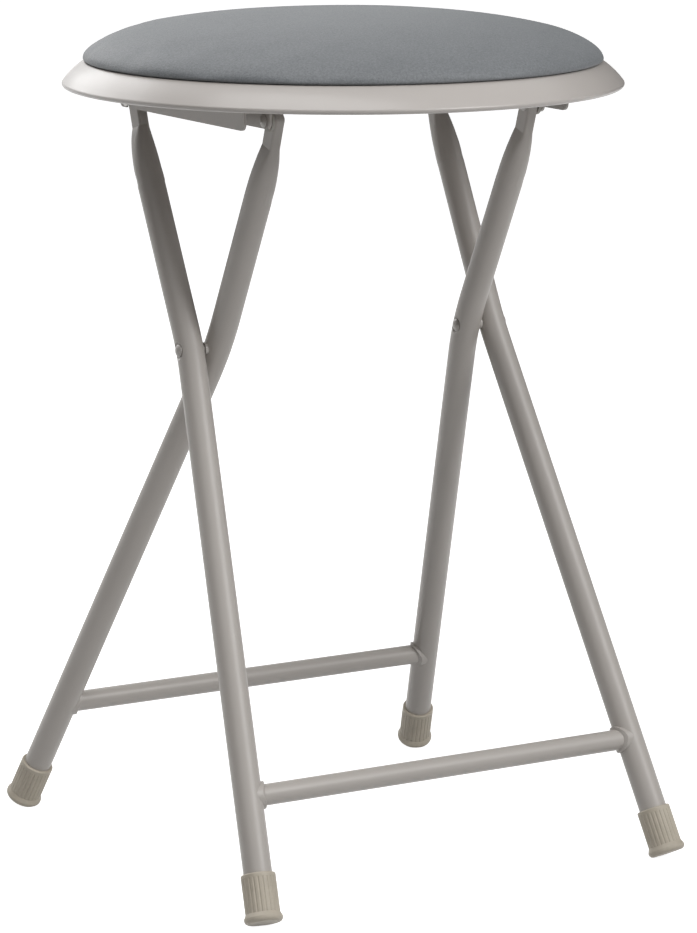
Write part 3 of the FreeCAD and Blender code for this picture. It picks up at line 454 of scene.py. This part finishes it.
# Seat cushion, in place of the plain cover
coverLow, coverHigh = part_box("seat_cover")
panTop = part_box("seat_pan")[1].z
hemGap = 0.0004             # between the pan's crest and the hem above it
cushion = {
    "segments": 120,            # round the edge, a multiple of 4
    "blockReach": 0.055,        # half width of the square middle of the mesh
    "blockRoundness": 0.6,      # how far its edge goes from a square towards a circle
    "blendRings": 4,            # rings in which what is left of the square turns round
    "crownRings": 26,
    "padRadius": coverHigh.x,
    "sideRadius": 0.1801,       # where the side runs down inside the pan
    "hemRound": 0.0016,
    "hemTurns": (30, 60, 90),               # degrees at which rings go round the hem
    "crestTurns": (12, 35, 60, 90),         # and down over the crest of the pan
    "ledge": panTop + hemGap,
    "top": coverHigh.z,
    "floor": coverLow.z,
    "acrossPower": 3.06,
    "upPower": 1.70,
    "frames": 20,
    "slack": 0.0003,            # how much lower the crown starts, before it is blown up
    "cap": 0.0004,              # most that the blowing up may leave a point uneven by
}
puckers = {
    "seed": 11,
    "waves": 5,
    "number": 74,               # round the edge
    "counts": (0.7, 1.3),       # fewest and most in a wave, as shares of that number
    "heights": (0.2, 1.0),      # lowest and highest of a wave
    "calm": 3,                  # what the sum of the waves is divided by
    "depth": 0.00022,
    "reach": 0.014,             # from the edge to where they fade out
    "rise": 0.002,              # above the hem, over which they start
    "upShare": 0.6,             # how much of a pucker goes up as well as out
}
inflation = {                   # names are the cloth settings' own
    "quality": 6,
    "mass": 0.4,
    "tension_stiffness": 30,
    "compression_stiffness": 30,
    "shear_stiffness": 20,
    "bending_stiffness": 3.0,
    "use_pressure": True,
    "uniform_pressure_force": 4.0,
    "vertex_group_mass": "held",
    "pin_stiffness": 2.0,
}


def crownHeight(across, top):
    base = cushion["ledge"] + cushion["hemRound"]
    share = min(across / cushion["padRadius"], 1.0)
    sine = share ** (cushion["acrossPower"] / 2)
    return base + (top - base) * max(1 - sine * sine, 0) ** (1 / cushion["upPower"])


def middleBlock(size):
    # square grid whose edge bends towards a circle; gives its points, its faces and its rim in order
    half = size // 2
    bend = cushion["blockRoundness"]
    points, index = [], {}
    for row in range(size + 1):
        for column in range(size + 1):
            u, v = (column - half) / half, (row - half) / half
            roundU, roundV = u * math.sqrt(1 - v * v / 2), v * math.sqrt(1 - u * u / 2)
            index[column, row] = len(points)
            points.append(((u * (1 - bend) + roundU * bend) * cushion["blockReach"],
                           (v * (1 - bend) + roundV * bend) * cushion["blockReach"]))
    faces = [(index[c, r], index[c + 1, r], index[c + 1, r + 1], index[c, r + 1])
             for r in range(size) for c in range(size)]
    rim = [index[c, 0] for c in range(size)] + [index[size, r] for r in range(size)]
    rim += [index[c, size] for c in range(size, 0, -1)] + [index[0, r] for r in range(size, 0, -1)]
    return points, faces, rim


def cushionMesh():
    flat, faces, rim = middleBlock(cushion["segments"] // 4)
    top = cushion["top"] - cushion["slack"]
    points = [(x, y, crownHeight(math.hypot(x, y), top)) for x, y in flat]
    angles = [math.atan2(flat[i][1], flat[i][0]) for i in rim]
    starts = [Vector(flat[i]) for i in rim]
    rows = [rim]

    def addRing(across, up, roundness):
        ring = []
        for start, angle in zip(starts, angles):
            circle = Vector((math.cos(angle), math.sin(angle))) * across
            square = start.normalized() * across * start.length / cushion["blockReach"]
            place = square.lerp(circle, roundness)
            ring.append(len(points))
            points.append((place.x, place.y, crownHeight(place.length, top) if up is None else up))
        rows.append(ring)

    # crown: rings evenly spaced at first, closer together where the edge curves down
    power, rings = cushion["acrossPower"], cushion["crownRings"]
    startTurn = math.asin(min((cushion["blockReach"] / cushion["padRadius"]) ** (power / 2), 1))
    for step in range(1, rings + 1):
        share = step / rings
        turn = startTurn + (math.pi / 2 - startTurn) * share
        even = cushion["blockReach"] + (cushion["padRadius"] - cushion["blockReach"]) * share
        curved = cushion["padRadius"] * math.sin(turn) ** (2 / power)
        addRing(even + (curved - even) * share, None, min(step / cushion["blendRings"], 1.0))
    crownCount = len(points)

    # hem, then over the pan's crest, down the side and in below
    hem = cushion["hemRound"]
    hemCentre = cushion["padRadius"] - hem
    for turn in map(math.radians, cushion["hemTurns"]):
        addRing(hemCentre + hem * math.cos(turn), cushion["ledge"] + hem * (1 - math.sin(turn)), 1.0)
    crestRadius = hemCentre - cushion["sideRadius"]
    for turn in map(math.radians, cushion["crestTurns"]):
        addRing(hemCentre - crestRadius * math.sin(turn),
                cushion["ledge"] - crestRadius * (1 - math.cos(turn)), 1.0)
    addRing(cushion["sideRadius"], cushion["floor"] + hem, 1.0)
    addRing(cushion["sideRadius"] - hem, cushion["floor"], 1.0)
    for first, second in zip(rows, rows[1:]):
        for spot in range(len(angles)):
            following = (spot + 1) % len(angles)
            faces.append((first[spot], second[spot], second[following], first[following]))
    faces.append(tuple(reversed(rows[-1])))
    return points, faces, rows, crownCount


def puckered(points, crownCount):
    # faint gathers just above the hem, where the cover is drawn tight over the edge
    draw = random.Random(puckers["seed"])
    waves = [(draw.uniform(*puckers["counts"]) * puckers["number"], draw.uniform(0, 2 * math.pi),
              draw.uniform(*puckers["heights"])) for _ in range(puckers["waves"])]
    made = []
    for spot, (x, y, z) in enumerate(points):
        across = math.hypot(x, y)
        near = 0.0
        if spot < crownCount:
            near = max(0.0, 1 - (cushion["padRadius"] - across) / puckers["reach"])
        near *= max(0.0, min(1.0, (z - cushion["ledge"] - cushion["hemRound"]) / puckers["rise"]))
        angle = math.atan2(y, x)
        wave = sum(math.sin(round(count) * angle + phase) * height for count, phase, height in waves)
        shift = puckers["depth"] * (wave / puckers["calm"]) * near
        scale = 1 + shift / across if across else 1
        made.append((x * scale, y * scale, z + shift * puckers["upShare"]))
    return made


def evenSwell(rings, starts, shifts):
    # mean outward and upward shift of each ring of the mesh, with the ring's distance from the middle
    means = [(0.0, 0.0, shifts[0].z)]
    for ring in rings:
        across = sum(math.hypot(starts[i].x, starts[i].y) for i in ring) / len(ring)
        outward = sum((shifts[i].x * starts[i].x + shifts[i].y * starts[i].y) / across for i in ring)
        means.append((across, outward / len(ring), sum(shifts[i].z for i in ring) / len(ring)))
    return means


def swellAt(means, across):
    for (nearReach, nearOut, nearUp), (farReach, farOut, farUp) in zip(means, means[1:]):
        if across <= farReach:
            share = (across - nearReach) / (farReach - nearReach)
            return nearOut + (farOut - nearOut) * share, nearUp + (farUp - nearUp) * share
    return means[-1][1:]


def blowUp(piece, crownRings, pinned):
    # cloth held at its hem and filled from inside; its even swell is taken out again, so that the crown
    # keeps its measured line, and of the unevenness only what is under the cap stays
    piece.vertex_groups.new(name=inflation["vertex_group_mass"]).add(pinned, 1.0, "REPLACE")
    cloth = piece.modifiers.new("blowUp", "CLOTH")
    for key, value in inflation.items():
        setattr(cloth.settings, key, value)
    cloth.settings.effector_weights.gravity = 0
    cloth.collision_settings.use_collision = False
    cloth.point_cache.frame_start = 1
    cloth.point_cache.frame_end = cushion["frames"]
    for step in range(1, cushion["frames"] + 1):
        scene.frame_set(step)
    evaluated = piece.evaluated_get(bpy.context.evaluated_depsgraph_get())
    starts = [vertex.co.copy() for vertex in piece.data.vertices]
    shifts = [moved.co - start for moved, start in zip(evaluated.data.vertices, starts)]
    piece.modifiers.remove(cloth)
    means = evenSwell(crownRings, starts, shifts)
    held = set(pinned)
    largest = 0.0
    for vertex, start, shift in zip(piece.data.vertices, starts, shifts):
        if vertex.index in held:
            continue
        across = math.hypot(start.x, start.y)
        outward, upward = swellAt(means, across)
        uneven = shift - Vector((0, 0, upward))
        if across:
            uneven -= Vector((start.x, start.y, 0)) * (outward / across)
        largest = max(largest, uneven.length)
        if uneven.length > cushion["cap"]:
            uneven *= cushion["cap"] / uneven.length
        vertex.co = start + uneven
    piece.vertex_groups.clear()
    scene.frame_set(1)
    print("cushion swelled by %.2f mm, uneven by up to %.2f mm" % (
        max(upward for across, outward, upward in means) / millimetre, largest / millimetre))


def makeCushion():
    points, faces, rows, crownCount = cushionMesh()
    mesh = bpy.data.meshes.new("seatCushion")
    mesh.from_pydata(puckered(points, crownCount), [], faces)
    mesh.validate()
    piece = bpy.data.objects.new("seatCushion", mesh)
    scene.collection.objects.link(piece)
    crownRings = [row for row in rows if row[-1] < crownCount]
    blowUp(piece, crownRings, list(range(crownCount, len(points))))
    smooth = piece.modifiers.new("smooth", "SUBSURF")
    smooth.levels = smooth.render_levels = 1
    for face in mesh.polygons:
        face.use_smooth = True
    mesh.materials.append(seatVinyl)
    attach(piece, "seat")
    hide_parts("seat_cover")
    print("cushion has", len(points), "points")


makeCushion()
